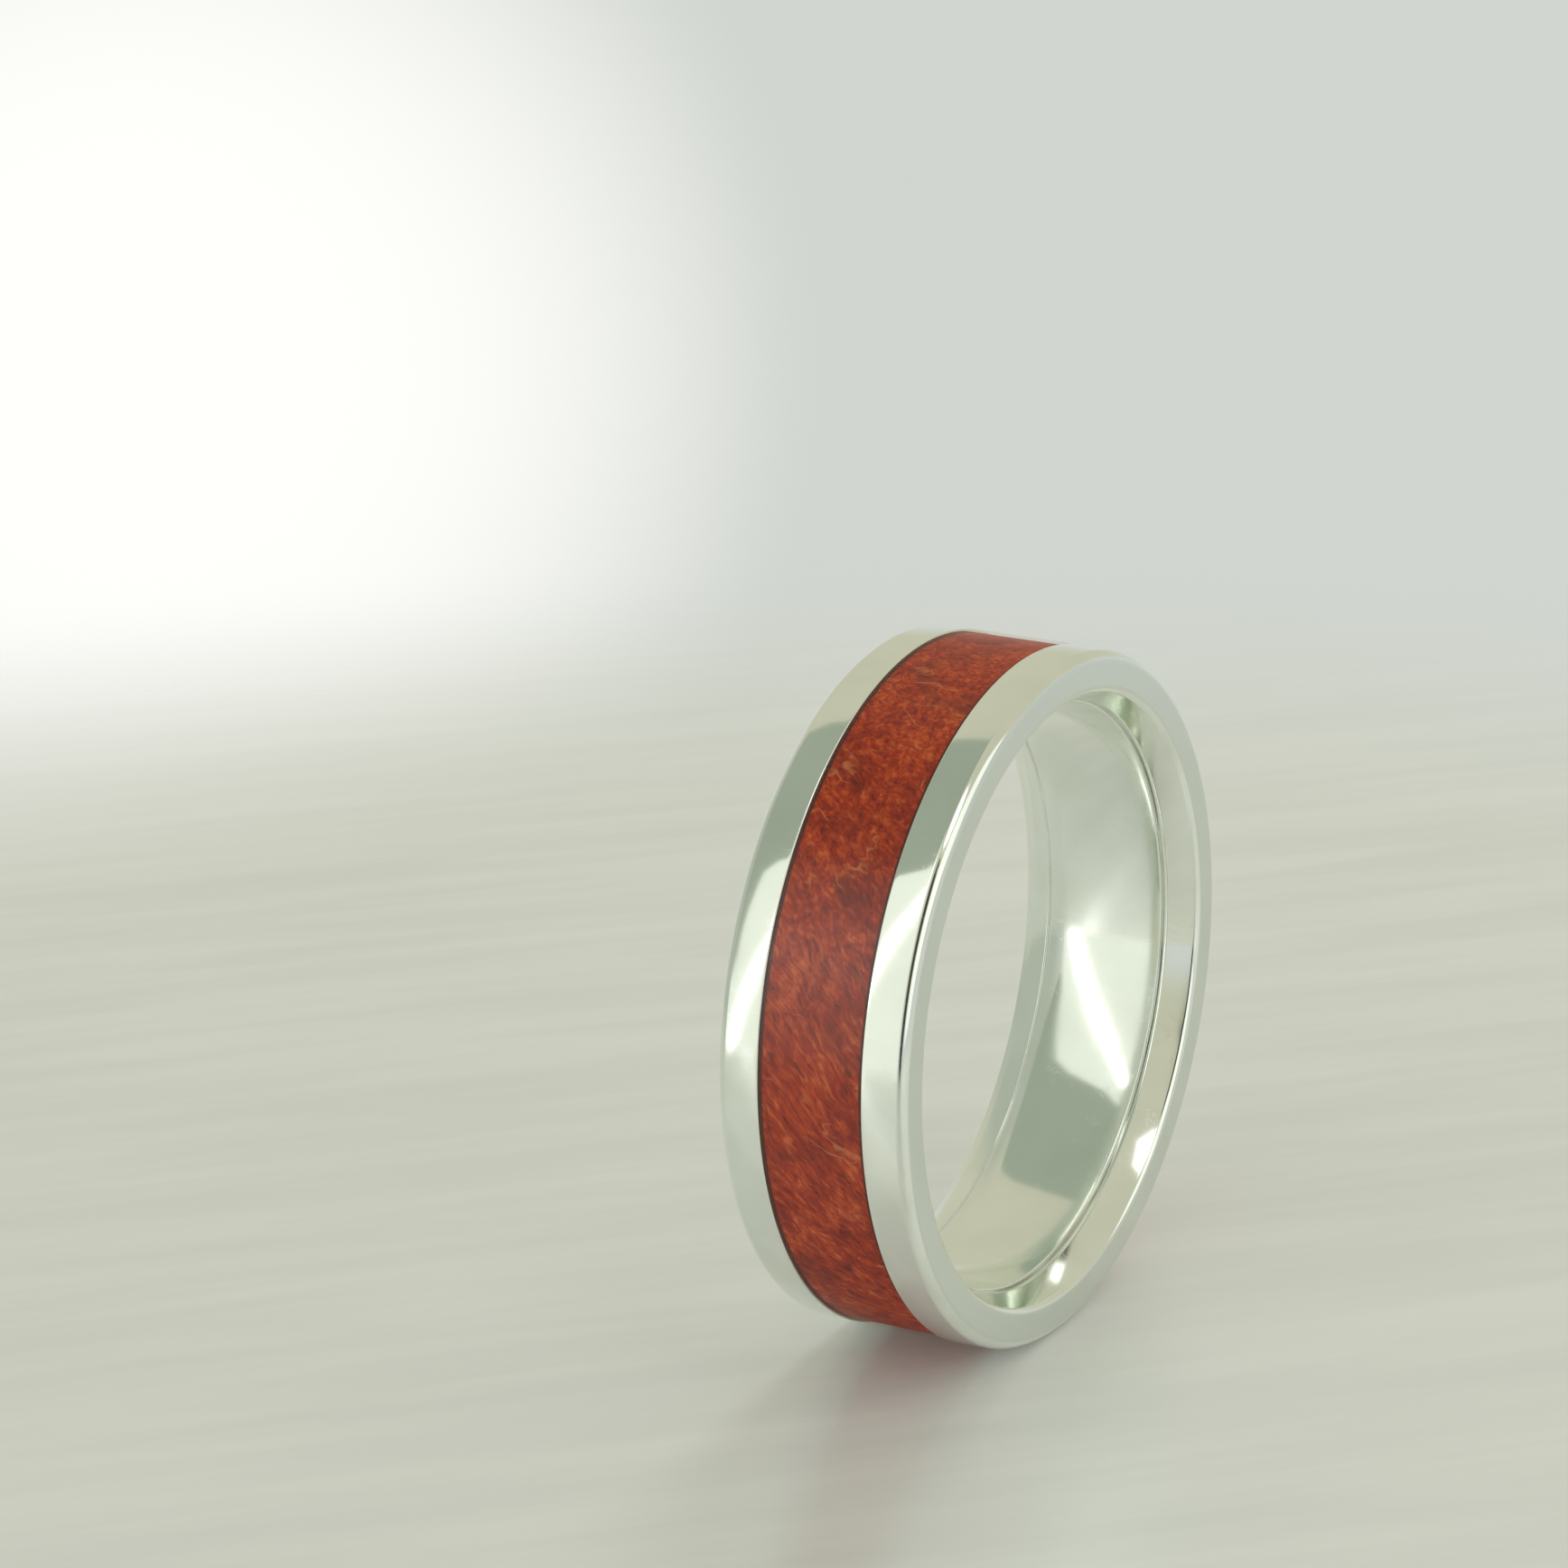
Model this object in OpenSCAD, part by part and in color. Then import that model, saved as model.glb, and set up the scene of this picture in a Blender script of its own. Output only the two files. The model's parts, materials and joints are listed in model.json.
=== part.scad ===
// Wedding band: silver edge rings soldered to a comfort sleeve, with a turned burl wood
// inlay glued into the channel between them and a clear coat over the wood.
// The finger hole runs along X and +X is the ring's right side face. +Z is up: the ring
// stands upright on its rim, and its origin is the centre of the finger hole.

/* [Band] */
// Diameter of the finger hole, at the polished land of the comfort sleeve
finger_hole_d = 20.2; // [15:0.2:24]
// Thickness of the band, from the finger hole to the outside
wall_t = 2.0; // [1.6:0.1:4]
// Width of the band, from side face to side face
band_w = 7.0; // [5.8:0.1:12]
// Radius that eases the outer corner of each side face
corner_r = 0.25; // [0.05:0.05:0.35]

/* [Inside] */
// Thickness of the comfort sleeve
sleeve_t = 0.8; // [0.5:0.05:1.2]
// How far each end of the sleeve reaches in under its edge ring
sleeve_seat = 0.32; // [0.2:0.01:0.5]
// Radius that eases the right inner end of the sleeve
sleeve_lip_r = 0.06; // [0.05:0.01:0.2]
// How far the right flare rises from the finger hole on its way to the side face
flare_rise = 0.6; // [0.56:0.02:1]
// How far the right flare bulges from a straight cone
flare_crown = 0.03; // [0.03:0.01:0.1]
// Radius that blends the right flare into its side face
flare_edge_r = 0.3; // [0.1:0.05:0.3]
// How far in from the sleeve's left end its comfort curve starts
comfort_in = 0.73; // [0.3:0.01:1]
// How far the comfort curve rises from the finger hole on its way to the left side face
comfort_rise = 0.85; // [0.6:0.05:1]
// Radius that blends the comfort curve into the left side face
comfort_edge_r = 0.3; // [0.1:0.05:0.3]

/* [Inlay] */
// Width of the wood, between the two glue lines
wood_w = 3.7; // [2.5:0.02:4.4]
// Width of each glue line beside the wood
glue_line_w = 0.06; // [0.05:0.01:0.2]
// Thickness of the glue under the wood
glue_bed_t = 0.1; // [0.05:0.01:0.15]
// Thickness of the clear coat over the wood
coat_t = 0.1; // [0.05:0.01:0.15]

/* [Solder] */
// Thickness of the solder between the sleeve and each edge ring
solder_t = 0.06; // [0.04:0.01:0.1]

/* [Hidden] */

$fn = 180;
ARC_STEPS = 8;

SILVER = [0.83, 0.85, 0.80];
SOLDER = [0.74, 0.75, 0.70];
BURL_RED = [0.56, 0.13, 0.06];
GLUE_BROWN = [0.13, 0.05, 0.04];
CLEAR = [0.95, 0.80, 0.72, 0.35];

// Radii, from the finger outward
bore_r = finger_hole_d / 2;
sleeve_or = bore_r + sleeve_t;
rebate_r = sleeve_or + solder_t;
wood_ir = sleeve_or + glue_bed_t;
outer_r = bore_r + wall_t;
wood_or = outer_r - coat_t;

// Distances from the middle of the band, from the wood outward to the side face
wood_x = wood_w / 2;
channel_x = wood_x + glue_line_w;
sleeve_x = channel_x + sleeve_seat;
rebate_x = sleeve_x + solder_t;
face_x = band_w / 2;

// The right flare starts level with the sleeve's eased end and heads for this corner on the
// side face. Profile points are [distance from the middle, radius].
flare_in = [rebate_x, bore_r + sleeve_lip_r];
flare_out = [face_x, bore_r + flare_rise];
flare_way = flare_out - flare_in;
flare_half = norm(flare_way) / 2;
flare_r = (flare_half * flare_half + flare_crown * flare_crown) / (2 * flare_crown);
flare_c = (flare_in + flare_out) / 2 + (flare_r - flare_crown) * [-flare_way[1], flare_way[0]] / norm(flare_way);

// The blend is the circle inside the flare's own circle that also touches the side face
blend_x = face_x - flare_edge_r;
blend_drop = sqrt(pow(flare_r - flare_edge_r, 2) - pow(blend_x - flare_c[0], 2));
blend_c = [blend_x, flare_c[1] - blend_drop];

// The comfort curve is one arc. It leaves the finger hole without an edge, runs on from the
// sleeve over the left edge ring, and blends into the left side face.
comfort_x = sleeve_x - comfort_in;
comfort_run = face_x - comfort_x;
comfort_r = (comfort_run * comfort_run + comfort_rise * comfort_rise) / (2 * comfort_rise);
comfort_c = [comfort_x, bore_r + comfort_r];
comfort_blend_x = face_x - comfort_edge_r;
comfort_blend_c = [
    comfort_blend_x,
    comfort_c[1] - sqrt(pow(comfort_r - comfort_edge_r, 2) - pow(comfort_blend_x - comfort_x, 2))
];

// The point of the comfort curve at a distance from the middle
function on_comfort(x) = [x, comfort_c[1] - sqrt(pow(comfort_r, 2) - pow(x - comfort_x, 2))];

// Direction of a point seen from a centre, as an angle
function bearing(c, p) = atan2(p[1] - c[1], p[0] - c[0]);

// Points along the arc about c from angle a to angle b, without the point at a
function arc_on(c, r, a, b) = [
    for (i = [1 : ARC_STEPS])
        let (angle = a + (b - a) * i / ARC_STEPS)
        c + r * [cos(angle), sin(angle)]
];

// Outer part of an edge ring's section: channel wall, outside and eased corner
function edge_ring_outside() = concat(
    [
        [channel_x, rebate_r],
        [channel_x, outer_r],
        [face_x - corner_r, outer_r]
    ],
    arc_on([face_x - corner_r, outer_r - corner_r], corner_r, 90, 0)
);

// Section of the right edge ring, with the flare between its side face and its rebate
function right_ring_profile() = concat(
    edge_ring_outside(),
    [[face_x, blend_c[1]]],
    arc_on(blend_c, flare_edge_r, 0, bearing(flare_c, blend_c)),
    arc_on(flare_c, flare_r, bearing(flare_c, blend_c), bearing(flare_c, flare_in)),
    [[rebate_x, rebate_r]]
);

// Section of the left edge ring, drawn on the right, with its end of the comfort curve
function left_ring_profile() = concat(
    edge_ring_outside(),
    [[face_x, comfort_blend_c[1]]],
    arc_on(comfort_blend_c, comfort_edge_r, 0, bearing(comfort_c, comfort_blend_c)),
    arc_on(
        comfort_c, comfort_r,
        bearing(comfort_c, comfort_blend_c), bearing(comfort_c, on_comfort(rebate_x))
    ),
    [[rebate_x, rebate_r]]
);

// Section of the comfort sleeve: eased right end, straight land and start of the comfort curve
function sleeve_profile() =
    let (
        lip_c = [sleeve_x - sleeve_lip_r, bore_r + sleeve_lip_r],
        curve_c = [-comfort_x, comfort_c[1]],
        curve_end = [-sleeve_x, on_comfort(sleeve_x)[1]]
    )
    concat(
        [
            [-sleeve_x, sleeve_or],
            [sleeve_x, sleeve_or],
            [sleeve_x, lip_c[1]]
        ],
        arc_on(lip_c, sleeve_lip_r, 0, -90),
        [[-comfort_x, bore_r]],
        arc_on(curve_c, comfort_r, -90, bearing(curve_c, curve_end))
    );

// Section of the solder that lines an edge ring's rebate, drawn on the right. It ends at the
// finger hole between a point on the sleeve and a point on the edge ring.
function solder_profile(at_sleeve, at_ring) = [
    [channel_x, sleeve_or],
    [sleeve_x, sleeve_or],
    at_sleeve,
    at_ring,
    [rebate_x, rebate_r],
    [channel_x, rebate_r]
];

// Turns a profile about the X axis
module turned(profile) {
    rotate([0, 90, 0])
        rotate_extrude()
            polygon([for (p = profile) [p[1], p[0]]]);
}

// Turns a plain tube about the X axis
module tube(r_in, r_out, x_from, x_to) {
    turned([[x_from, r_in], [x_to, r_in], [x_to, r_out], [x_from, r_out]]);
}

// Silver liner whose polished land touches the finger
module comfort_sleeve() {
    color(SILVER)
        turned(sleeve_profile());
}

// Silver side band on the right, with the flare
module right_edge_ring() {
    color(SILVER)
        turned(right_ring_profile());
}

// Silver side band on the left, with the end of the comfort curve
module left_edge_ring() {
    color(SILVER)
        mirror([1, 0, 0])
            turned(left_ring_profile());
}

// Solder between the sleeve and the right edge ring; its end shows at the foot of the flare
module right_solder_seam() {
    color(SOLDER)
        turned(solder_profile([sleeve_x, flare_in[1]], flare_in));
}

// Solder between the sleeve and the left edge ring, flush with the comfort curve
module left_solder_seam() {
    color(SOLDER)
        mirror([1, 0, 0])
            turned(solder_profile(on_comfort(sleeve_x), on_comfort(rebate_x)));
}

// Glue between the channel's floor and the wood
module glue_bed() {
    color(GLUE_BROWN)
        tube(sleeve_or, wood_ir, -wood_x, wood_x);
}

// Dark glue that shows as a thin line beside the wood, drawn for the right side
module glue_line() {
    color(GLUE_BROWN)
        tube(sleeve_or, wood_or, wood_x, channel_x);
}

// One turned ring of burl wood
module wood_inlay() {
    color(BURL_RED)
        tube(wood_ir, wood_or, -wood_x, wood_x);
}

// Glossy finish that fills the channel up to the level of the silver
module clear_coat() {
    color(CLEAR)
        tube(wood_or, outer_r, -channel_x, channel_x);
}

comfort_sleeve();
right_solder_seam();
left_solder_seam();
right_edge_ring();
left_edge_ring();
glue_bed();
glue_line();  // right_glue_line
mirror([1, 0, 0]) glue_line();  // left_glue_line
wood_inlay();
clear_coat();
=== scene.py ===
# %% [markdown]
# # A wedding band with a burl wood inlay
#
# The ring is a small bonded assembly. A polished silver sleeve lines the finger hole, and two
# silver edge rings are soldered to it with a channel left between them. A turned ring of
# orange-red burl is glued into the channel, and a clear finish over it is polished level with
# the metal. Every piece is round about one axis, so one lathe tree makes nearly all of them.

# %% Load the measured frame
import math
import bmesh
import bpy
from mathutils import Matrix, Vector
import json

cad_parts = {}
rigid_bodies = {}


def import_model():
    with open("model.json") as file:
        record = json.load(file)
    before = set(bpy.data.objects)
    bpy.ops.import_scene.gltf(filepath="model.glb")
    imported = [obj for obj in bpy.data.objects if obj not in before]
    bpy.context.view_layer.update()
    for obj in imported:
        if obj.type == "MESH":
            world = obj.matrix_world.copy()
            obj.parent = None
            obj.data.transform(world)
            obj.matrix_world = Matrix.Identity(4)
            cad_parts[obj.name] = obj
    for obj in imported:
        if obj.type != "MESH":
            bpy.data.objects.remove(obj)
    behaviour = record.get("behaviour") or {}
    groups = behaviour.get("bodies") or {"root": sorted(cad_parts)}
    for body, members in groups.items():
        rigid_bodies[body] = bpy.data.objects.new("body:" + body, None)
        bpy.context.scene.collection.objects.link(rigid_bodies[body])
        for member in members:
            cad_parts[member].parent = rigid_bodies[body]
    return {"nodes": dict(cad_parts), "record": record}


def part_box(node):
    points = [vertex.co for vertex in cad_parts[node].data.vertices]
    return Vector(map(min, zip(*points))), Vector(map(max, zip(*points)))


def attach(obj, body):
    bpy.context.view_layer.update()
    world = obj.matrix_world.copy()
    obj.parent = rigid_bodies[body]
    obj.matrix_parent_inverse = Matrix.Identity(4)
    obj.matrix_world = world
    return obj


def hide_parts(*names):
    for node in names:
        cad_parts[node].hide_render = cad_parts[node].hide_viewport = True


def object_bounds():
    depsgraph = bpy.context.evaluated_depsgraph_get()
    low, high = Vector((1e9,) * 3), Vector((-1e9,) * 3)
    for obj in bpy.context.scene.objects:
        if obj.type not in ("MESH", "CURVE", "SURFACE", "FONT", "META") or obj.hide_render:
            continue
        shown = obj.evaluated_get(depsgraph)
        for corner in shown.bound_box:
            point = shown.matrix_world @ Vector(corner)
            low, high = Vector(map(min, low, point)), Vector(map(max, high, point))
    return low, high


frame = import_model()
cad_low, cad_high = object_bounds()
MM = 0.001
print("CAD box in mm:", [round(v / MM, 3) for v in (*cad_low, *cad_high)])

# %% [markdown]
# ## Sizes
#
# Each CAD node gives its own box, so the main radii and widths are read from there. The small
# eases that a box can't show are named here in millimetres, as a maker would mark them on a
# drawing of the section. The finger hole runs along X and the ring stands upright on Z.

# %% Read the main sizes from the frame
_, ring_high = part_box("right_edge_ring")
_, sleeve_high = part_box("comfort_sleeve")
_, wood_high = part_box("wood_inlay")
_, glue_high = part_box("right_glue_line")
_, bed_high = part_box("glue_bed")
_, seam_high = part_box("right_solder_seam")
face_x = ring_high.x / MM
outer_r = ring_high.z / MM
channel_x = glue_high.x / MM
wood_x = wood_high.x / MM
wood_r = wood_high.z / MM
sleeve_x = sleeve_high.x / MM
sleeve_r = sleeve_high.z / MM
wood_floor_r = bed_high.z / MM
rebate_x = seam_high.x / MM
rebate_r = seam_high.z / MM
bore_r = frame["record"]["mounts"][0]["dims"]["r_mm"]
print(f"outside radius {outer_r:.2f}, finger hole radius {bore_r:.2f}, half width {face_x:.2f}")

# %% Name the small eases of the section
channel_ease = 0.05  # edge beside the inlay
crown_from = 2.6  # where the outside starts to fall, from the middle of the band
crown_drop = 0.046  # how far the outside falls on its way to the bevel
crown_ease = 14.0
bevel_wide = 0.3  # the bevel along the outside, and down the side face
bevel_deep = 0.163
bevel_ease = 0.42
lip_ease = 0.06  # right end of the sleeve
flare_rise = 0.59  # from the finger hole to the flare's outer end
flare_crown = 0.012
flare_blend = 0.3
comfort_start = sleeve_x - 0.73
comfort_rise = 0.85  # from the finger hole to the left side face
comfort_blend = 0.3
land_crown = 0.09
print(f"bevel {bevel_wide} by {bevel_deep}, comfort curve from {comfort_start:.2f}")

# %% [markdown]
# ## Drawing a section
#
# A section is a list of corners, each with the radius that eases it, as on a turner's drawing.
# `eased` swaps each corner for an arc. `held` adds a point close to both ends of each long
# straight run. Smooth shading blends across an edge, and those extra points keep a flat face
# flat right up to its arc, which matters on a mirror polish. Short runs are steps of a broad
# curve, and get no extra points, so a mirror bends evenly along them. An arc that is longer
# than the straights beside it folds the outline over itself, so every section is tested for
# edges that cross.

# %% Round the corners and hold the flats
ARC_STEP = math.radians(6)
BROAD, BROAD_STEPS = 1.0, 12
HOLD, LONG_RUN = 0.012, 0.25


def eased(corners):
    """The outline with an arc of its own radius at each corner."""
    points = []
    for i, (x, r, ease) in enumerate(corners):
        here = Vector((x, r))
        back = Vector(corners[i - 1][:2]) - here
        ahead = Vector(corners[(i + 1) % len(corners)][:2]) - here
        half = back.angle(ahead) / 2
        if ease == 0:
            points.append(here)
            continue
        start = here + back.normalized() * ease / math.tan(half)
        end = here + ahead.normalized() * ease / math.tan(half)
        inward = (back.normalized() + ahead.normalized()).normalized()
        centre = here + inward * ease / math.sin(half)
        turn = (start - centre).angle_signed(end - centre)
        steps = max(BROAD_STEPS if ease > BROAD else 2, math.ceil(abs(turn) / ARC_STEP))
        for k in range(steps + 1):
            spoke = start - centre
            angle = -turn * k / steps
            points.append(centre + Vector((
                spoke.x * math.cos(angle) - spoke.y * math.sin(angle),
                spoke.x * math.sin(angle) + spoke.y * math.cos(angle),
            )))
    return points


def held(points):
    """The outline with extra points near both ends of its long straight runs."""
    full = []
    for here, ahead in zip(points, points[1:] + points[:1]):
        run = ahead - here
        full.append(here)
        if run.length > LONG_RUN:
            full += [here + run.normalized() * HOLD, ahead - run.normalized() * HOLD]
    return full


def crossings(points):
    """How many pairs of edges of a closed outline cross each other."""
    edges = list(zip(points, points[1:] + points[:1]))

    def left_of(a, b, p):
        return (b - a).cross(p - a) > 0

    return sum(
        left_of(a, b, c) != left_of(a, b, d) and left_of(c, d, a) != left_of(c, d, b)
        for i, (a, b) in enumerate(edges) for c, d in edges[i + 2:len(edges) - (i == 0)])


def section(corners, side=1):
    """The finished outline, turned over to the left for side -1."""
    outline = held(eased(corners))
    assert crossings(outline) == 0, "the section folds over itself"
    return [Vector((side * p.x, p.y)) for p in outline]


# %% [markdown]
# ## The lathe
#
# A real ring like this is turned, so the model is turned too. The Geometry Nodes tree takes a
# closed section, sweeps it round a circle, stands the axis along X, and adds the slight ripple
# that hand polishing leaves. The ripple is only a few thousandths of a millimetre deep, but a
# mirror shows it as softly bent reflections, which is how real polished silver looks.

# %% Build trees with one small helper
# The same helper adds a node to a geometry tree and to a material tree: numbers go on the
# sockets, and other nodes' outputs are linked to them.
def add(tree, kind, sockets=None, **settings):
    made = tree.nodes.new(kind)
    for name, value in settings.items():
        setattr(made, name, value)
    for name, value in (sockets or {}).items():
        if isinstance(value, bpy.types.NodeSocket):
            tree.links.new(value, made.inputs[name])
        else:
            made.inputs[name].default_value = value
    return made


# %% Build the lathe tree
def build_lathe():
    tree = bpy.data.node_groups.new("ring_lathe", "GeometryNodeTree")
    face = tree.interface
    face.new_socket("Section", in_out="INPUT", socket_type="NodeSocketGeometry")
    for name, kind in (
        ("Turning radius", "NodeSocketFloat"),
        ("Facets", "NodeSocketInt"),
        ("Ripple height", "NodeSocketFloat"),
        ("Ripple spacing", "NodeSocketFloat"),
        ("Ripple seed", "NodeSocketFloat"),
        ("Finish", "NodeSocketMaterial"),
    ):
        face.new_socket(name, in_out="INPUT", socket_type=kind)
    face.new_socket("Turned piece", in_out="OUTPUT", socket_type="NodeSocketGeometry")
    given = add(tree, "NodeGroupInput").outputs
    outline = add(tree, "GeometryNodeMeshToCurve", {"Mesh": given["Section"]})
    path = add(tree, "GeometryNodeCurvePrimitiveCircle", {
        "Resolution": given["Facets"], "Radius": given["Turning radius"]})
    swept = add(tree, "GeometryNodeCurveToMesh", {
        "Curve": path.outputs["Curve"], "Profile Curve": outline.outputs["Curve"]})
    stood = add(tree, "GeometryNodeTransform", {
        "Geometry": swept.outputs["Mesh"], "Rotation": (0, math.pi / 2, 0)})
    place = add(tree, "GeometryNodeInputPosition")
    per_ripple = add(tree, "ShaderNodeMath", {0: 1.0, 1: given["Ripple spacing"]}, operation="DIVIDE")
    ripple = add(tree, "ShaderNodeTexNoise", {
        "Vector": place.outputs[0], "W": given["Ripple seed"],
        "Scale": per_ripple.outputs[0], "Detail": 1.0}, noise_dimensions="4D")
    centred = add(tree, "ShaderNodeMath", {0: ripple.outputs[0], 1: 0.5}, operation="SUBTRACT")
    depth = add(tree, "ShaderNodeMath", {
        0: centred.outputs[0], 1: given["Ripple height"]}, operation="MULTIPLY")
    outward = add(tree, "GeometryNodeInputNormal")
    shift = add(tree, "ShaderNodeVectorMath", {
        0: outward.outputs[0], "Scale": depth.outputs[0]}, operation="SCALE")
    rippled = add(tree, "GeometryNodeSetPosition", {
        "Geometry": stood.outputs["Geometry"], "Offset": shift.outputs["Vector"]})
    smooth = add(tree, "GeometryNodeSetShadeSmooth", {"Geometry": rippled.outputs["Geometry"]})
    single = add(tree, "GeometryNodeRealizeInstances", {"Geometry": smooth.outputs["Geometry"]})
    finished = add(tree, "GeometryNodeSetMaterial", {
        "Geometry": single.outputs["Geometry"], "Material": given["Finish"]})
    add(tree, "NodeGroupOutput", {"Turned piece": finished.outputs["Geometry"]})
    return tree


lathe = build_lathe()
print("lathe tree:", len(lathe.nodes), "nodes")

# %% [markdown]
# Turning a piece takes four moves: lay its section down as a loop of edges, run the lathe on
# it, keep the result as a plain mesh, and make sure every face points outwards.

# %% Turn one section into a finished mesh
FACETS = 720
RIPPLE_HEIGHT = 0.006
RIPPLE_SPACING = 3.2


def turned(name, outline, finish, ripple=RIPPLE_HEIGHT, seed=0.0):
    middle_r = sum(p.y for p in outline) / len(outline)
    loop = bpy.data.meshes.new(name + "_section")
    count = len(outline)
    loop.from_pydata(
        [((p.y - middle_r) * MM, -p.x * MM, 0) for p in outline],
        [(i, (i + 1) % count) for i in range(count)], [])
    piece = bpy.data.objects.new(name, loop)
    bpy.context.scene.collection.objects.link(piece)
    lathed = piece.modifiers.new("lathe", "NODES")
    lathed.node_group = lathe
    sockets = {s.name: s.identifier for s in lathe.interface.items_tree if s.in_out == "INPUT"}
    for label, value in (
        ("Turning radius", middle_r * MM),
        ("Facets", FACETS),
        ("Ripple height", ripple * MM),
        ("Ripple spacing", RIPPLE_SPACING * MM),
        ("Ripple seed", seed),
        ("Finish", finish),
    ):
        lathed[sockets[label]] = value
    ready = piece.evaluated_get(bpy.context.evaluated_depsgraph_get())
    mesh = bpy.data.meshes.new_from_object(ready)
    piece.modifiers.clear()
    shell = bmesh.new()
    shell.from_mesh(mesh)
    bmesh.ops.recalc_face_normals(shell, faces=shell.faces)
    if shell.calc_volume(signed=True) < 0:
        bmesh.ops.reverse_faces(shell, faces=shell.faces)
    shell.to_mesh(mesh)
    volume = shell.calc_volume() / MM ** 3
    shell.free()
    piece.data = mesh
    mesh.name = name
    print(f"{name}: {len(mesh.polygons)} faces, {volume:.1f} cubic mm")
    return piece


# %% [markdown]
# ## Silver
#
# The metal is white silver polished on a wheel. Up close it is never perfect: fine lines run
# round the ring where the wheel turned, a few hairline scratches cross them, and the gloss
# changes a little from place to place. All of it is made from the place in the object, so it
# runs on without a seam. Turning lines depend only on the distance along the axis and from the
# axis, so they follow the ring on its rim, on its side faces and inside. The flat side faces
# are painted a little greyer, as painted shade for the darker surroundings they mirror.
#
# Solder is greyer than silver, so the right seam shows as a fine line. No line is meant to
# show at the left seam, so its solder is matched to the silver.

# %% Helpers for patterns on the ring
def new_finish(name):
    finish = bpy.data.materials.new(name)
    finish.use_nodes = True
    tree = finish.node_tree
    tree.nodes.clear()
    return finish, tree


def maths(tree, operation, *values, clamp=False):
    return add(tree, "ShaderNodeMath", dict(enumerate(values)),
               operation=operation, use_clamp=clamp).outputs[0]


def mixed(tree, factor, first, second):
    made = add(tree, "ShaderNodeMix", data_type="RGBA")
    colours = [s for s in made.inputs if s.type == "RGBA"]
    for socket, value in ((made.inputs[0], factor), *zip(colours, (first, second))):
        if isinstance(value, bpy.types.NodeSocket):
            tree.links.new(value, socket)
        else:
            socket.default_value = value
    return next(s for s in made.outputs if s.type == "RGBA")


def spread(tree, value, low, high, to_low=0.0, to_high=1.0):
    return add(tree, "ShaderNodeMapRange", {
        "Value": value, "From Min": low, "From Max": high,
        "To Min": to_low, "To Max": to_high}, interpolation_type="SMOOTHSTEP").outputs[0]


def grain(tree, place, per_mm, seed=0.0, detail=3.0, rough=0.5, twist=0.0):
    return add(tree, "ShaderNodeTexNoise", {
        "Vector": place, "W": seed, "Scale": per_mm / MM, "Detail": detail,
        "Roughness": rough, "Distortion": twist}, noise_dimensions="4D").outputs[0]


def slanted(tree, place, turn, longer=1.0):
    """Places for a pattern that is drawn out along X after X is turned by these angles."""
    return add(tree, "ShaderNodeMapping", {
        "Vector": place, "Rotation": [math.radians(a) for a in turn], "Scale": (longer, 1, 1)},
        vector_type="TEXTURE").outputs[0]


def ring_place(tree, place):
    apart = add(tree, "ShaderNodeSeparateXYZ", {0: place}).outputs
    square = maths(tree, "ADD", maths(tree, "POWER", apart[1], 2.0), maths(tree, "POWER", apart[2], 2.0))
    radius = maths(tree, "SQRT", square)
    return add(tree, "ShaderNodeCombineXYZ", {0: apart[0], 1: radius}).outputs[0]


# %% Make the silver
HAIRLINES = (((0, 20, 35), 5, 1.6), ((70, 0, -40), 6, 1.3))  # turn, stretch, scratches per mm
# Painted shade: the greyer tone the flat side faces are mixed towards, for the darker surroundings they
# mirror.
SIDE_FACE_SHADE_TONE = (0.765, 0.80, 0.765, 1)


def silver(name, pale, worn, gloss, lines, hairlines, seed):
    finish, tree = new_finish(name)
    place = add(tree, "ShaderNodeTexCoord").outputs["Object"]
    clouds = grain(tree, place, 0.35, seed, detail=2.0)
    wheel = grain(tree, ring_place(tree, place), 9.0, seed + 1, detail=2.0, rough=0.7)
    scratch = None
    for turn, longer, per_mm in HAIRLINES:
        field = grain(tree, slanted(tree, place, turn, longer), per_mm, seed + per_mm, detail=4.0)
        edge = maths(tree, "ABSOLUTE", maths(tree, "SUBTRACT", field, 0.5))
        line = spread(tree, edge, 0.0, 0.0016, 1.0, 0.0)
        some = spread(tree, grain(tree, place, 0.8, seed + 3 + per_mm), 0.5, 0.62)
        line = maths(tree, "MULTIPLY", line, some)
        scratch = line if scratch is None else maths(tree, "MAXIMUM", scratch, line)
    tone = mixed(tree, spread(tree, clouds, 0.3, 0.75), pale, worn)
    tone = mixed(tree, maths(tree, "MULTIPLY", scratch, 0.25), tone, worn)
    # Painted shade: close to the side faces the tone turns greyer, standing in for the darker surroundings
    # they mirror.
    across = maths(tree, "ABSOLUTE", add(tree, "ShaderNodeSeparateXYZ", {0: place}).outputs[0])
    side_face_shade = spread(tree, across, (face_x - 0.04) * MM, (face_x - 0.005) * MM)
    tone = mixed(tree, side_face_shade, tone, SIDE_FACE_SHADE_TONE)
    rough = maths(tree, "ADD", spread(tree, clouds, 0.25, 0.8, gloss, gloss + 0.05),
                  maths(tree, "MULTIPLY", scratch, 0.15))
    fine = add(tree, "ShaderNodeBump", {
        "Height": wheel, "Distance": lines * MM, "Strength": 1.0})
    cut = add(tree, "ShaderNodeBump", {
        "Height": scratch, "Distance": hairlines * MM, "Strength": 1.0,
        "Normal": fine.outputs[0]}, invert=True)
    metal = add(tree, "ShaderNodeBsdfPrincipled", {
        "Base Color": tone, "Metallic": 1.0, "Roughness": rough, "Normal": cut.outputs[0]})
    add(tree, "ShaderNodeOutputMaterial", {"Surface": metal.outputs[0]})
    return finish


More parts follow.
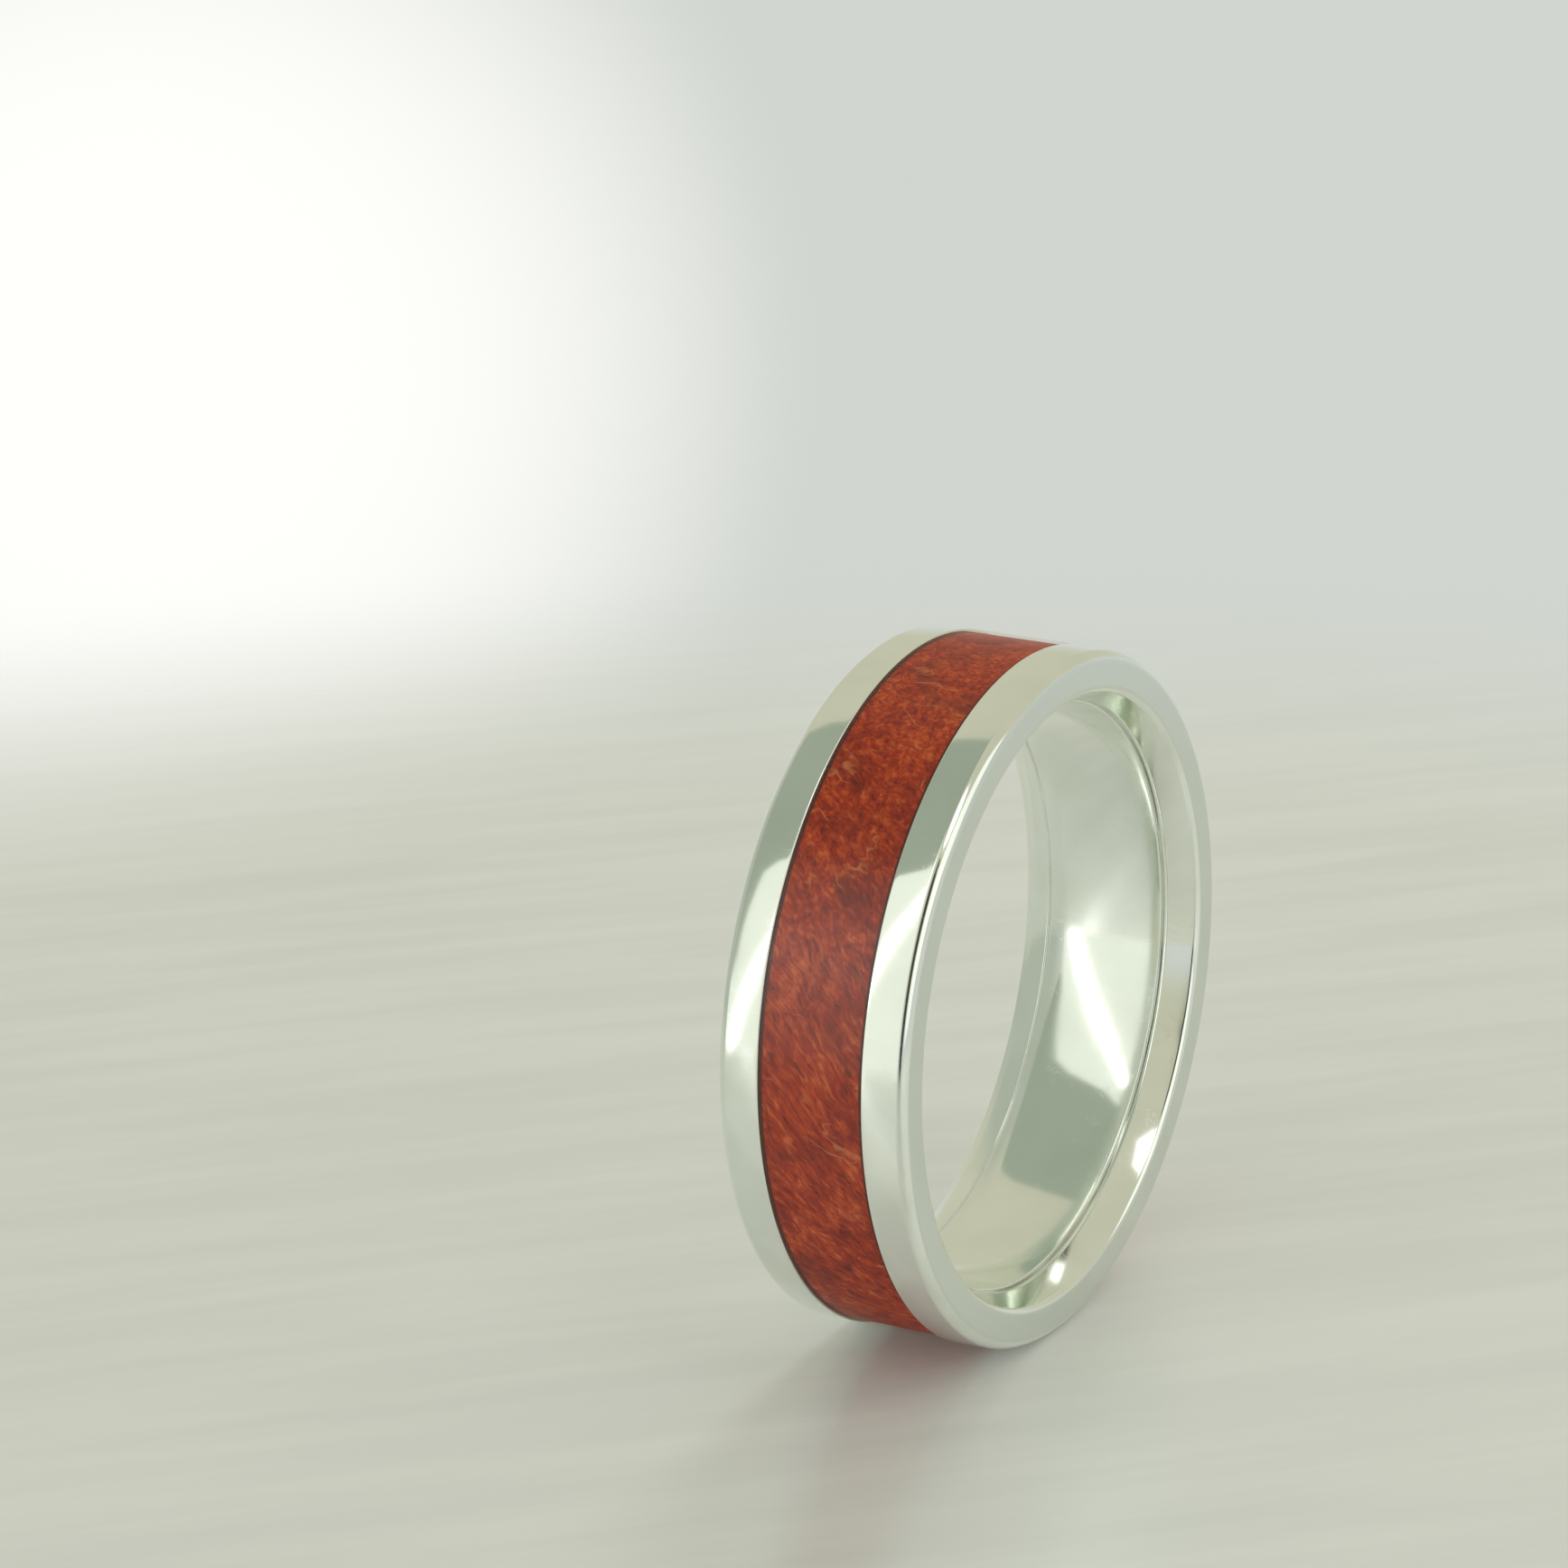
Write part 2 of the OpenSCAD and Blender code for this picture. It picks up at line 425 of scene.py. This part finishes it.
edge_silver = silver(
    "edge_silver", (0.93, 0.95, 0.905, 1), (0.86, 0.885, 0.83, 1),
    gloss=0.07, lines=0.00012, hairlines=0.0005, seed=2.0)
sleeve_silver = silver(
    "sleeve_silver", (0.92, 0.945, 0.90, 1), (0.86, 0.885, 0.83, 1),
    gloss=0.08, lines=0.00015, hairlines=0.0007, seed=5.0)
solder_silver = silver(
    "solder_silver", (0.8, 0.815, 0.76, 1), (0.68, 0.69, 0.62, 1),
    gloss=0.13, lines=0.0002, hairlines=0.0004, seed=8.0)
flush_solder = silver(
    "flush_solder", (0.915, 0.94, 0.895, 1), (0.85, 0.875, 0.82, 1),
    gloss=0.08, lines=0.00015, hairlines=0.0007, seed=5.0)
print("silver finishes:", edge_silver.name, sleeve_silver.name, solder_silver.name, flush_solder.name)

# %% [markdown]
# ## Burl wood
#
# Burl has no straight grain. Short silky fibres wander past darker patches and small pale
# flecks, and the deep orange-red changes from place to place. A turned ring cuts through one
# solid block, so the pattern is solid too: it fills space, and the ring's surface shows where
# it cuts it. Noise stretched along one slanting direction gives the fibres. A second, slower
# noise bends them first, so that they never line up. Dark blotches, pores and pale wisps are
# laid over that, and the wood is darker where glue has soaked into its edges.

# %% Make the burl
BURL_TONES = (
    (0.40, (0.17, 0.008, 0.0008, 1)),
    (0.46, (0.30, 0.016, 0.0012, 1)),
    (0.50, (0.41, 0.031, 0.003, 1)),
    (0.54, (0.52, 0.060, 0.008, 1)),
    (0.60, (0.68, 0.140, 0.038, 1)),
)
BLOTCH_TONE = (0.15, 0.016, 0.005, 1)
PORE_TONE = (0.10, 0.006, 0.001, 1)
WISP_TONE = (0.72, 0.26, 0.10, 1)
SOAKED_TONE = (0.05, 0.010, 0.006, 1)


def burl(name):
    finish, tree = new_finish(name)
    place = add(tree, "ShaderNodeTexCoord").outputs["Object"]
    drift = add(tree, "ShaderNodeTexNoise", {
        "Vector": place, "W": 3.0, "Scale": 0.9 / MM, "Detail": 2.0}, noise_dimensions="4D").outputs[1]
    drift = add(tree, "ShaderNodeVectorMath", {0: drift, 1: (0.5, 0.5, 0.5)}, operation="SUBTRACT")
    drift = add(tree, "ShaderNodeVectorMath", {
        0: drift.outputs[0], "Scale": 0.55 * MM}, operation="SCALE")
    bent = add(tree, "ShaderNodeVectorMath", {0: place, 1: drift.outputs[0]}, operation="ADD").outputs[0]
    fibres = grain(tree, slanted(tree, bent, (0, 50, 0), 6), 7.0, 11.0, detail=4.0, rough=0.65)
    tufts = grain(tree, slanted(tree, bent, (0, 58, 15), 2.2), 3.2, 21.0, detail=6.0, rough=0.72)
    patches = grain(tree, bent, 0.6, 31.0, detail=3.0, rough=0.55, twist=0.6)
    slow = maths(tree, "ADD", maths(tree, "MULTIPLY", tufts, 0.42), maths(tree, "MULTIPLY", patches, 0.26))
    figure = maths(tree, "ADD", maths(tree, "MULTIPLY", fibres, 0.32), slow)
    ramp = add(tree, "ShaderNodeValToRGB", {"Fac": figure})
    while len(ramp.color_ramp.elements) < len(BURL_TONES):
        ramp.color_ramp.elements.new(0.5)
    for stop, (at, colour) in zip(ramp.color_ramp.elements, BURL_TONES):
        stop.position, stop.color = at, colour
    blotch = spread(tree, grain(tree, bent, 0.32, 41.0, detail=4.0, rough=0.6, twist=1.0), 0.53, 0.68)
    tone = mixed(tree, maths(tree, "MULTIPLY", blotch, 0.4), ramp.outputs[0], BLOTCH_TONE)
    pores = grain(tree, slanted(tree, bent, (0, 50, 0), 5), 5.0, 71.0, detail=2.0)
    pores = spread(tree, pores, 0.33, 0.40, 1.0, 0.0)
    tone = mixed(tree, maths(tree, "MULTIPLY", pores, 0.6), tone, PORE_TONE)
    wisp = maths(tree, "ABSOLUTE", maths(tree, "SUBTRACT", grain(
        tree, slanted(tree, bent, (0, 25, 0), 3), 0.6, 51.0, detail=3.0), 0.5))
    wisp = maths(tree, "MULTIPLY", spread(tree, wisp, 0.0, 0.012, 1.0, 0.0),
                 spread(tree, grain(tree, place, 0.5, 61.0), 0.50, 0.62))
    tone = mixed(tree, maths(tree, "MULTIPLY", wisp, 0.6), tone, WISP_TONE)
    across = maths(tree, "ABSOLUTE", add(tree, "ShaderNodeSeparateXYZ", {0: place}).outputs[0])
    ragged = maths(tree, "ADD", across, maths(tree, "MULTIPLY", tufts, 0.16 * MM))
    soaked = spread(tree, ragged, (wood_x - 0.02) * MM, (wood_x + 0.08) * MM)
    tone = mixed(tree, soaked, tone, SOAKED_TONE)
    relief = add(tree, "ShaderNodeBump", {"Height": fibres, "Distance": 0.004 * MM, "Strength": 1.0})
    rough = spread(tree, tufts, 0.3, 0.7, 0.5, 0.62)
    wood = add(tree, "ShaderNodeBsdfPrincipled", {
        "Base Color": tone, "Roughness": rough, "Specular IOR Level": 0.03, "Normal": relief.outputs[0]})
    add(tree, "ShaderNodeOutputMaterial", {"Surface": wood.outputs[0]})
    return finish


red_burl = burl("red_burl")
print("burl tree:", len(red_burl.node_tree.nodes), "nodes")

# %% [markdown]
# ## Glue and clear finish
#
# The glue dries dark brown and shows as a hair-thin line along both edges of the wood. The
# clear finish is a thin skin: most light passes straight through it, and a little is mirrored,
# more at a low angle. A Transparent shader mixed with a soft Glossy one says just that, and
# the share that is mirrored grows with the fifth power, as it does on real varnish.

# %% Make the glue and the clear finish
GRAZING_SHARE = 0.12


def cured_glue(name):
    finish, tree = new_finish(name)
    place = add(tree, "ShaderNodeTexCoord").outputs["Object"]
    cloudy = grain(tree, place, 2.5, 4.0)
    tone = mixed(tree, cloudy, (0.05, 0.009, 0.005, 1), (0.12, 0.026, 0.013, 1))
    relief = add(tree, "ShaderNodeBump", {"Height": cloudy, "Distance": 0.003 * MM, "Strength": 1.0})
    glue = add(tree, "ShaderNodeBsdfPrincipled", {
        "Base Color": tone, "Roughness": spread(tree, cloudy, 0.2, 0.8, 0.4, 0.65),
        "Specular IOR Level": 0.25, "Normal": relief.outputs[0]})
    add(tree, "ShaderNodeOutputMaterial", {"Surface": glue.outputs[0]})
    return finish


def varnish(name, head_on, gloss):
    """Clear skin that mirrors the share head_on when seen square on, and more at an angle."""
    finish, tree = new_finish(name)
    place = add(tree, "ShaderNodeTexCoord").outputs["Object"]
    haze = grain(tree, place, 1.2, 6.0, detail=2.0)
    edge_on = add(tree, "ShaderNodeLayerWeight", {"Blend": 0.5}).outputs["Facing"]
    share = maths(tree, "MULTIPLY_ADD", maths(tree, "POWER", edge_on, 5.0), GRAZING_SHARE, head_on,
                  clamp=True)
    orange_peel = add(tree, "ShaderNodeBump", {"Height": haze, "Distance": 0.004 * MM, "Strength": 1.0})
    clear = add(tree, "ShaderNodeBsdfTransparent", {"Color": (0.985, 0.96, 0.94, 1)})
    shine = add(tree, "ShaderNodeBsdfAnisotropic", {
        "Color": (1, 1, 1, 1), "Roughness": spread(tree, haze, 0.2, 0.8, gloss, gloss + 0.08),
        "Normal": orange_peel.outputs[0]})
    skin = add(tree, "ShaderNodeMixShader", {0: share, 1: clear.outputs[0], 2: shine.outputs[0]})
    add(tree, "ShaderNodeOutputMaterial", {"Surface": skin.outputs[0]})
    return finish


dark_glue = cured_glue("dark_glue")
clear_finish = varnish("clear_finish", head_on=0.028, gloss=0.2)
print("glue and varnish:", dark_glue.name, clear_finish.name)

# %% [markdown]
# ## Turning the pieces
#
# The inside comes first, because the edge rings start where it ends. The sleeve's land looks
# straight, but polishing crowns it by a few hundredths of a millimetre, and that bends the
# reflections inside the ring. On the left it bends away in one long comfort curve that runs on
# over the left edge ring, where the joint is polished flush. On the right it ends in a lip.

# %% Draw the inside of the ring
land_half = (sleeve_x + comfort_start) / 2
land_middle = (sleeve_x - comfort_start) / 2
land_lean = 2 * land_crown / land_half
comfort_run = face_x - comfort_start
comfort_left = comfort_rise - land_crown / 2
comfort_arc = (comfort_run ** 2 + comfort_left ** 2) / (2 * (comfort_left - comfort_run * land_lean))


def on_land(x):
    """Radius of the crowned land at this distance from the middle, towards the right."""
    return bore_r - land_crown / 2 + land_crown * ((x - land_middle) / land_half) ** 2


def on_comfort(x):
    """Radius of the comfort curve at this distance from the middle, towards the left."""
    along = x - comfort_start + comfort_arc * land_lean
    return bore_r + land_crown / 2 + comfort_arc * math.sqrt(1 - land_lean ** 2) - math.sqrt(
        comfort_arc ** 2 - along ** 2)


print(f"comfort curve radius {comfort_arc:.2f}, lip at {on_land(sleeve_x):.3f}")

# %% [markdown]
# The sleeve, the left seam and the left edge ring were polished in one go, so they share one
# ripple. With a ripple of its own, each would end a hair higher or lower than the next.

# %% Turn the sleeve
LAND_STEPS, COMFORT_STEPS = 16, 6
INSIDE_RIPPLE = 3.0
land = [sleeve_x - 2 * land_half * k / LAND_STEPS for k in range(1, LAND_STEPS)]
sleeve_curve = [
    comfort_start + (sleeve_x - comfort_start) * k / COMFORT_STEPS for k in range(COMFORT_STEPS + 1)]
sleeve = turned("polished_sleeve", section(
    [(-sleeve_x, sleeve_r, 0), (sleeve_x, sleeve_r, 0), (sleeve_x, on_land(sleeve_x), lip_ease)]
    + [(x, on_land(x), 0) for x in land]
    + [(-x, on_comfort(x), 0) for x in sleeve_curve]
), sleeve_silver, seed=INSIDE_RIPPLE)

# %% [markdown]
# The edge rings carry the looks. Outside, each has a slight crown, a small bevel and a flat
# side face. Inside, the right ring has a flare that makes the ring easy to slide on, and the
# left ring has the end of the comfort curve. A bowed flare is two short straights with one
# long arc between them.

# %% Turn the edge rings
FLARE_BOW_R = 12.0
CURVE_STEPS = 12
BLEND_REACH = 0.42  # how far in the blend at the left side face reaches
outside_corners = [
    (channel_x, rebate_r, 0),
    (channel_x, outer_r, channel_ease),
    (crown_from, outer_r, crown_ease),
    (face_x - bevel_wide, outer_r - crown_drop, 0.2),
    (face_x, outer_r - crown_drop - bevel_deep, bevel_ease),
]
flare_start = Vector((rebate_x, on_land(sleeve_x) + lip_ease))
flare_end = Vector((face_x, bore_r + flare_rise))
flare_run = flare_end - flare_start
flare_out = Vector((flare_run.y, -flare_run.x)).normalized()
flare_bow = (flare_start + flare_end) / 2 + flare_out * 2 * flare_crown
right_band = turned("right_band", section(outside_corners + [
    (face_x, flare_end.y, flare_blend),
    (flare_bow.x, flare_bow.y, FLARE_BOW_R),
    (flare_start.x, flare_start.y, 0),
    (rebate_x, rebate_r, 0),
]), edge_silver)
past_blend = face_x - BLEND_REACH
ring_curve = [
    past_blend - (past_blend - rebate_x) * k / CURVE_STEPS for k in range(CURVE_STEPS + 1)]
left_band = turned("left_band", section(
    outside_corners + [(face_x, on_comfort(face_x), comfort_blend)]
    + [(x, on_comfort(x), 0) for x in ring_curve]
    + [(rebate_x, rebate_r, 0)], -1), edge_silver, seed=INSIDE_RIPPLE)
edge_rings = {"right": right_band, "left": left_band}

# %% [markdown]
# The solder is a thin film, shaped like a step, between the sleeve and each edge ring. Only its
# end shows, inside the ring. The rest is shut in, but the model comes apart as the real ring
# would, so each seam is a whole piece.

# %% Turn the solder seams
seams = {}
for label, side, at_sleeve, at_ring, solder, seed in (
    ("right", 1, flare_start.y, flare_start.y, solder_silver, 0.0),
    ("left", -1, on_comfort(sleeve_x), on_comfort(rebate_x), flush_solder, INSIDE_RIPPLE),
):
    seams[label] = turned(f"{label}_solder", section([
        (channel_x, sleeve_r, 0),
        (sleeve_x, sleeve_r, 0),
        (sleeve_x, at_sleeve, 0),
        (rebate_x, at_ring, 0),
        (rebate_x, rebate_r, 0),
        (channel_x, rebate_r, 0),
    ], side), solder, seed=seed)

# %% [markdown]
# The wood is a plain tube with its edges just broken. The clear skin lies over it and over the
# glue lines. Its under side stands a hair above the wood and its ends a hair short of the
# silver, because two faces in the same place fight over which one is seen.

# %% Turn the wood, the glue lines and the clear skin
HAIR = 0.003
BROKEN_EDGE = 0.01
SKIN_DROP, SKIN_EASE = 0.002, 0.02
wood_ring = turned("burl_ring", section([
    (-wood_x, wood_floor_r, 0),
    (wood_x, wood_floor_r, 0),
    (wood_x, wood_r, BROKEN_EDGE),
    (-wood_x, wood_r, BROKEN_EDGE),
]), red_burl, ripple=0.0)
glue_lines = {}
for label, side in (("right", 1), ("left", -1)):
    glue_lines[label] = turned(f"{label}_glue_thread", section([
        (wood_x, sleeve_r, 0),
        (channel_x, sleeve_r, 0),
        (channel_x, wood_r, 0),
        (wood_x, wood_r, 0),
    ], side), dark_glue, ripple=0.0)
skin = turned("clear_skin", section([
    (-channel_x + HAIR, wood_r + HAIR, 0),
    (channel_x - HAIR, wood_r + HAIR, 0),
    (channel_x - HAIR, outer_r - SKIN_DROP, SKIN_EASE),
    (-channel_x + HAIR, outer_r - SKIN_DROP, SKIN_EASE),
]), clear_finish, ripple=0.002, seed=9.0)

# %% [markdown]
# ## Joining the frame
#
# Each turned piece stands for one CAD node and rides on the ring's only body. The glue bed is
# shut in under the wood, so its CAD node stays and only gets the glue's finish.

# %% Hide the CAD node under each turned piece, and put the piece on the body
for piece, cad_node, finish_slot in (
    (edge_rings["right"], "right_edge_ring", "band_silver"),
    (edge_rings["left"], "left_edge_ring", "band_silver"),
    (sleeve, "comfort_sleeve", "bore_silver"),
    (seams["right"], "right_solder_seam", "silver_solder"),
    (seams["left"], "left_solder_seam", "silver_solder"),
    (wood_ring, "wood_inlay", "red_burl"),
    (glue_lines["right"], "right_glue_line", "dark_glue"),
    (glue_lines["left"], "left_glue_line", "dark_glue"),
    (skin, "clear_coat", "clear_finish"),
):
    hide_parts(cad_node)
    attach(piece, "root")

bed = frame["nodes"]["glue_bed"]
bed.data.materials.clear()
bed.data.materials.append(dark_glue)
print("pieces on the body: 9 turned, 1 kept from the CAD")

# %% [markdown]
# ## The table
#
# A plain pale table top with faint streaks and a satin surface, which mirrors more at a low
# angle. A little light of its own stands for what the rest of the room would throw onto it. It
# fades out some way from the ring, so a soft horizon shows, and it looks the same from every
# side, because the fade depends only on the distance from the ring.

# %% Lay the table
TABLE_GAP = 0.004  # in millimetres, like every other size; the next three are in metres
TABLE_RADIUS = 0.2
FADE_FROM, FADE_TO = 0.055, 0.105
table_mesh = bpy.data.meshes.new("table_top")
disc = bmesh.new()
bmesh.ops.create_circle(disc, cap_ends=True, radius=TABLE_RADIUS, segments=96)
bmesh.ops.translate(disc, verts=disc.verts, vec=(0, 0, cad_low.z - TABLE_GAP * MM))
disc.to_mesh(table_mesh)
disc.free()
table_top = bpy.data.objects.new("table_top", table_mesh)
bpy.context.scene.collection.objects.link(table_top)


def pale_table(name):
    finish, tree = new_finish(name)
    place = add(tree, "ShaderNodeTexCoord").outputs["Object"]
    flat = add(tree, "ShaderNodeVectorMath", {0: place, 1: (1, 1, 0)}, operation="MULTIPLY").outputs[0]
    away = add(tree, "ShaderNodeVectorMath", {0: flat}, operation="LENGTH").outputs["Value"]
    streaks = grain(tree, slanted(tree, flat, (0, 0, 46), 9), 0.35, 2.0, detail=4.0, rough=0.6)
    streaks = spread(tree, streaks, 0.3, 0.7)
    tone = mixed(tree, streaks, (0.655, 0.675, 0.68, 1), (0.725, 0.74, 0.745, 1))
    matt = add(tree, "ShaderNodeBsdfDiffuse", {"Color": tone})
    satin = add(tree, "ShaderNodeBsdfAnisotropic", {"Color": (1, 1, 1, 1), "Roughness": 0.28})
    share = add(tree, "ShaderNodeFresnel", {"IOR": 1.9})
    board = add(tree, "ShaderNodeMixShader", {0: share.outputs[0], 1: matt.outputs[0], 2: satin.outputs[0]})
    lift = add(tree, "ShaderNodeEmission", {"Color": (1.0, 0.985, 0.88, 1), "Strength": 0.07})
    board = add(tree, "ShaderNodeAddShader", {0: board.outputs[0], 1: lift.outputs[0]})
    gone = add(tree, "ShaderNodeBsdfTransparent")
    fade = spread(tree, away, FADE_FROM, FADE_TO)
    both = add(tree, "ShaderNodeMixShader", {0: fade, 1: board.outputs[0], 2: gone.outputs[0]})
    add(tree, "ShaderNodeOutputMaterial", {"Surface": both.outputs[0]})
    return finish


table_mesh.materials.append(pale_table("pale_table"))
print(f"table {TABLE_RADIUS * 2} m across, {TABLE_GAP} mm under the ring")

# %% [markdown]
# ## The room
#
# Polished metal has no look of its own: it shows the room. The walls are pale, a little warmer
# towards the ceiling and darker on the left, and one wide soft glow stands for a bright window
# behind the ring on the left. A direction in the room is given as on a globe whose axis is X:
# how far along X it points, and how far it is turned about X, from the front upwards.

# %% Paint the room
def toward(along, turn, away):
    """A place at this distance: along is its share along X, turn its angle from -Y upward."""
    side = math.sqrt(1 - along ** 2)
    angle = math.radians(turn)
    return Vector((along, -side * math.cos(angle), side * math.sin(angle))) * away


GLOW_ALONG, GLOW_TURN = -0.5671, 195.564
GLOW_EDGE, GLOW_CORE = math.radians(7.2), math.radians(1.6)
room = bpy.data.worlds.new("pale_room")
bpy.context.scene.world = room
room.use_nodes = True
air = room.node_tree
air.nodes.clear()
look = add(air, "ShaderNodeTexCoord").outputs["Generated"]
along_x, along_y, height = add(air, "ShaderNodeSeparateXYZ", {0: look}).outputs
upward = spread(air, height, -0.05, 0.25)
walls = mixed(air, upward, (0.64, 0.67, 0.635, 1), (0.575, 0.575, 0.445, 1))
left_wall = maths(air, "MULTIPLY", spread(air, along_x, -0.75, -0.55, 1.0, 0.0),
                  spread(air, along_y, 0.1, 0.45, 1.0, 0.0))
walls = mixed(air, left_wall, walls, (0.44, 0.48, 0.40, 1))
glow_way = toward(GLOW_ALONG, GLOW_TURN, 1)
ahead = add(air, "ShaderNodeVectorMath", {0: look, 1: tuple(glow_way)}, operation="DOT_PRODUCT")
glow = spread(air, ahead.outputs["Value"], math.cos(GLOW_EDGE), math.cos(GLOW_CORE))
walls = mixed(air, glow, walls, (1.0, 1.0, 0.97, 1))
sky = add(air, "ShaderNodeBackground", {"Color": walls, "Strength": 1.0})
add(air, "ShaderNodeOutputWorld", {"Surface": sky.outputs[0]})
print("glow towards", [round(v, 3) for v in glow_way])

# %% [markdown]
# ## The light
#
# The light is set as in a jeweller's studio, with large curved cards that the camera doesn't
# see. A broad window panel stands at the front left, with a narrow bright curtain
# along it. A grey card hangs overhead and gives the silver its darker step. On the right, a
# dark flag and a side window draw the dark and the white line along the outer corner, and a
# small lamp lights the flare. A lamp high at the back throws the faint shadow forwards. It is
# kept out of reflections, because it would show as a hard white stroke on the band.

# %% Hang the cards
CARD_COLUMNS = 8


def card(name, rungs, colour, strength, away, mirrored=True):
    """A sheet curved round the ring. Each rung gives its two ends along X, and its turn."""
    sheet = bmesh.new()
    rows = [[
        sheet.verts.new(toward(start + (end - start) * k / CARD_COLUMNS, turn, away))
        for k in range(CARD_COLUMNS + 1)] for start, end, turn in rungs]
    for low_row, high_row in zip(rows, rows[1:]):
        for k in range(CARD_COLUMNS):
            sheet.faces.new((low_row[k], low_row[k + 1], high_row[k + 1], high_row[k]))
    mesh = bpy.data.meshes.new(name)
    sheet.to_mesh(mesh)
    sheet.free()
    hung = bpy.data.objects.new(name, mesh)
    bpy.context.scene.collection.objects.link(hung)
    finish, tree = new_finish(name)
    light = add(tree, "ShaderNodeEmission", {"Color": (*colour, 1), "Strength": strength})
    add(tree, "ShaderNodeOutputMaterial", {"Surface": light.outputs[0]})
    mesh.materials.append(finish)
    hung.visible_camera = False
    hung.visible_glossy = mirrored
    print(f"{name}: {len(rungs)} rungs, {away} m away")


card("window_panel", [
    (-0.60, 0.02, -21), (-0.60, 0.06, -10), (-0.59, 0.08, 0), (-0.575, 0.08, 18),
    (-0.56, 0.06, 36), (-0.535, 0.04, 46), (-0.48, 0.04, 50), (-0.40, 0.03, 52),
    (-0.32, 0.02, 54), (-0.24, 0.0, 60), (-0.12, -0.05, 66),
], colour=(0.95, 1.0, 0.88), strength=0.93, away=0.8)
card("bright_curtain", [
    (-0.585, -0.565, -25), (-0.56, -0.53, -8), (-0.53, -0.49, 6), (-0.49, -0.445, 16), (-0.445, -0.395, 25),
    (-0.395, -0.345, 33), (-0.34, -0.30, 40), (-0.29, -0.255, 47), (-0.235, -0.21, 54), (-0.18, -0.165, 60),
], colour=(1.0, 1.0, 0.95), strength=3.2, away=0.75)
card("overhead_card", [
    (-0.60, -0.2, 10), (-0.72, -0.1, 35), (-0.72, 0.0, 60), (-0.68, 0.0, 80), (-0.62, -0.02, 93),
    (-0.57, -0.08, 100), (-0.50, -0.15, 104),
], colour=(0.355, 0.405, 0.32), strength=0.96, away=0.95)
card("dark_flag", [
    (0.46, 0.56, -30), (0.43, 0.60, -5), (0.425, 0.61, 25), (0.435, 0.60, 50), (0.47, 0.55, 60),
], colour=(0.045, 0.05, 0.04), strength=1.0, away=0.6)
card("side_window", [
    (0.72, 0.93, -6), (0.67, 0.96, 20), (0.66, 0.97, 60), (0.69, 0.96, 110), (0.74, 0.92, 150),
], colour=(0.97, 1.0, 0.93), strength=1.1, away=0.8)
card("small_lamp", [
    (0.38, 0.50, 64), (0.30, 0.60, 70), (0.30, 0.62, 80), (0.38, 0.50, 85),
], colour=(1.0, 1.0, 0.97), strength=1.7, away=0.55)
card("back_lamp", [
    (-0.23, -0.03, 120), (-0.29, 0.03, 134), (-0.23, -0.03, 148),
], colour=(1.0, 0.99, 0.93), strength=4.3, away=0.55, mirrored=False)

# %% [markdown]
# ## The camera
#
# The ring is seen from the right of its front and a little above, through a long lens, so its
# far side is hardly smaller than its near side. It stands right of the middle of the frame.
# The camera's distances are counted in outside radii of the ring. The Standard view shows the
# colours just as the light gives them.

# %% Place the camera
camera_turn, camera_rise = math.radians(28.77), math.radians(17.19)
camera_away, ring_right, ring_down = 15.8335, 0.5468, 0.5719
lens = bpy.data.cameras.new("long_lens")
lens.lens, lens.sensor_width = 128.0, 36.0
lens.clip_start, lens.clip_end = 0.01, 20.0
camera = bpy.data.objects.new("camera", lens)
bpy.context.scene.collection.objects.link(camera)
camera.rotation_euler = (math.pi / 2 - camera_rise, 0, camera_turn)
turn = camera.rotation_euler.to_matrix()
camera.location = turn @ Vector((-ring_right, ring_down, camera_away)) * outer_r * MM
bpy.context.scene.camera = camera
print("camera at (mm):", [round(v / MM, 1) for v in camera.location])

bpy.context.scene.view_settings.view_transform = "Standard"

# %% [markdown]
# ## Mirrored light
#
# Inside a polished ring, light is mirrored from wall to wall many times before it gets out.
# With few bounces those places would turn black, so the limit on mirrored light is raised.

# %% Let mirrored light bounce further
bpy.context.scene.cycles.glossy_bounces = 12
print("mirrored light may bounce", bpy.context.scene.cycles.glossy_bounces, "times")

# %% [markdown]
# ## The last step
#

# %% Import json
import json
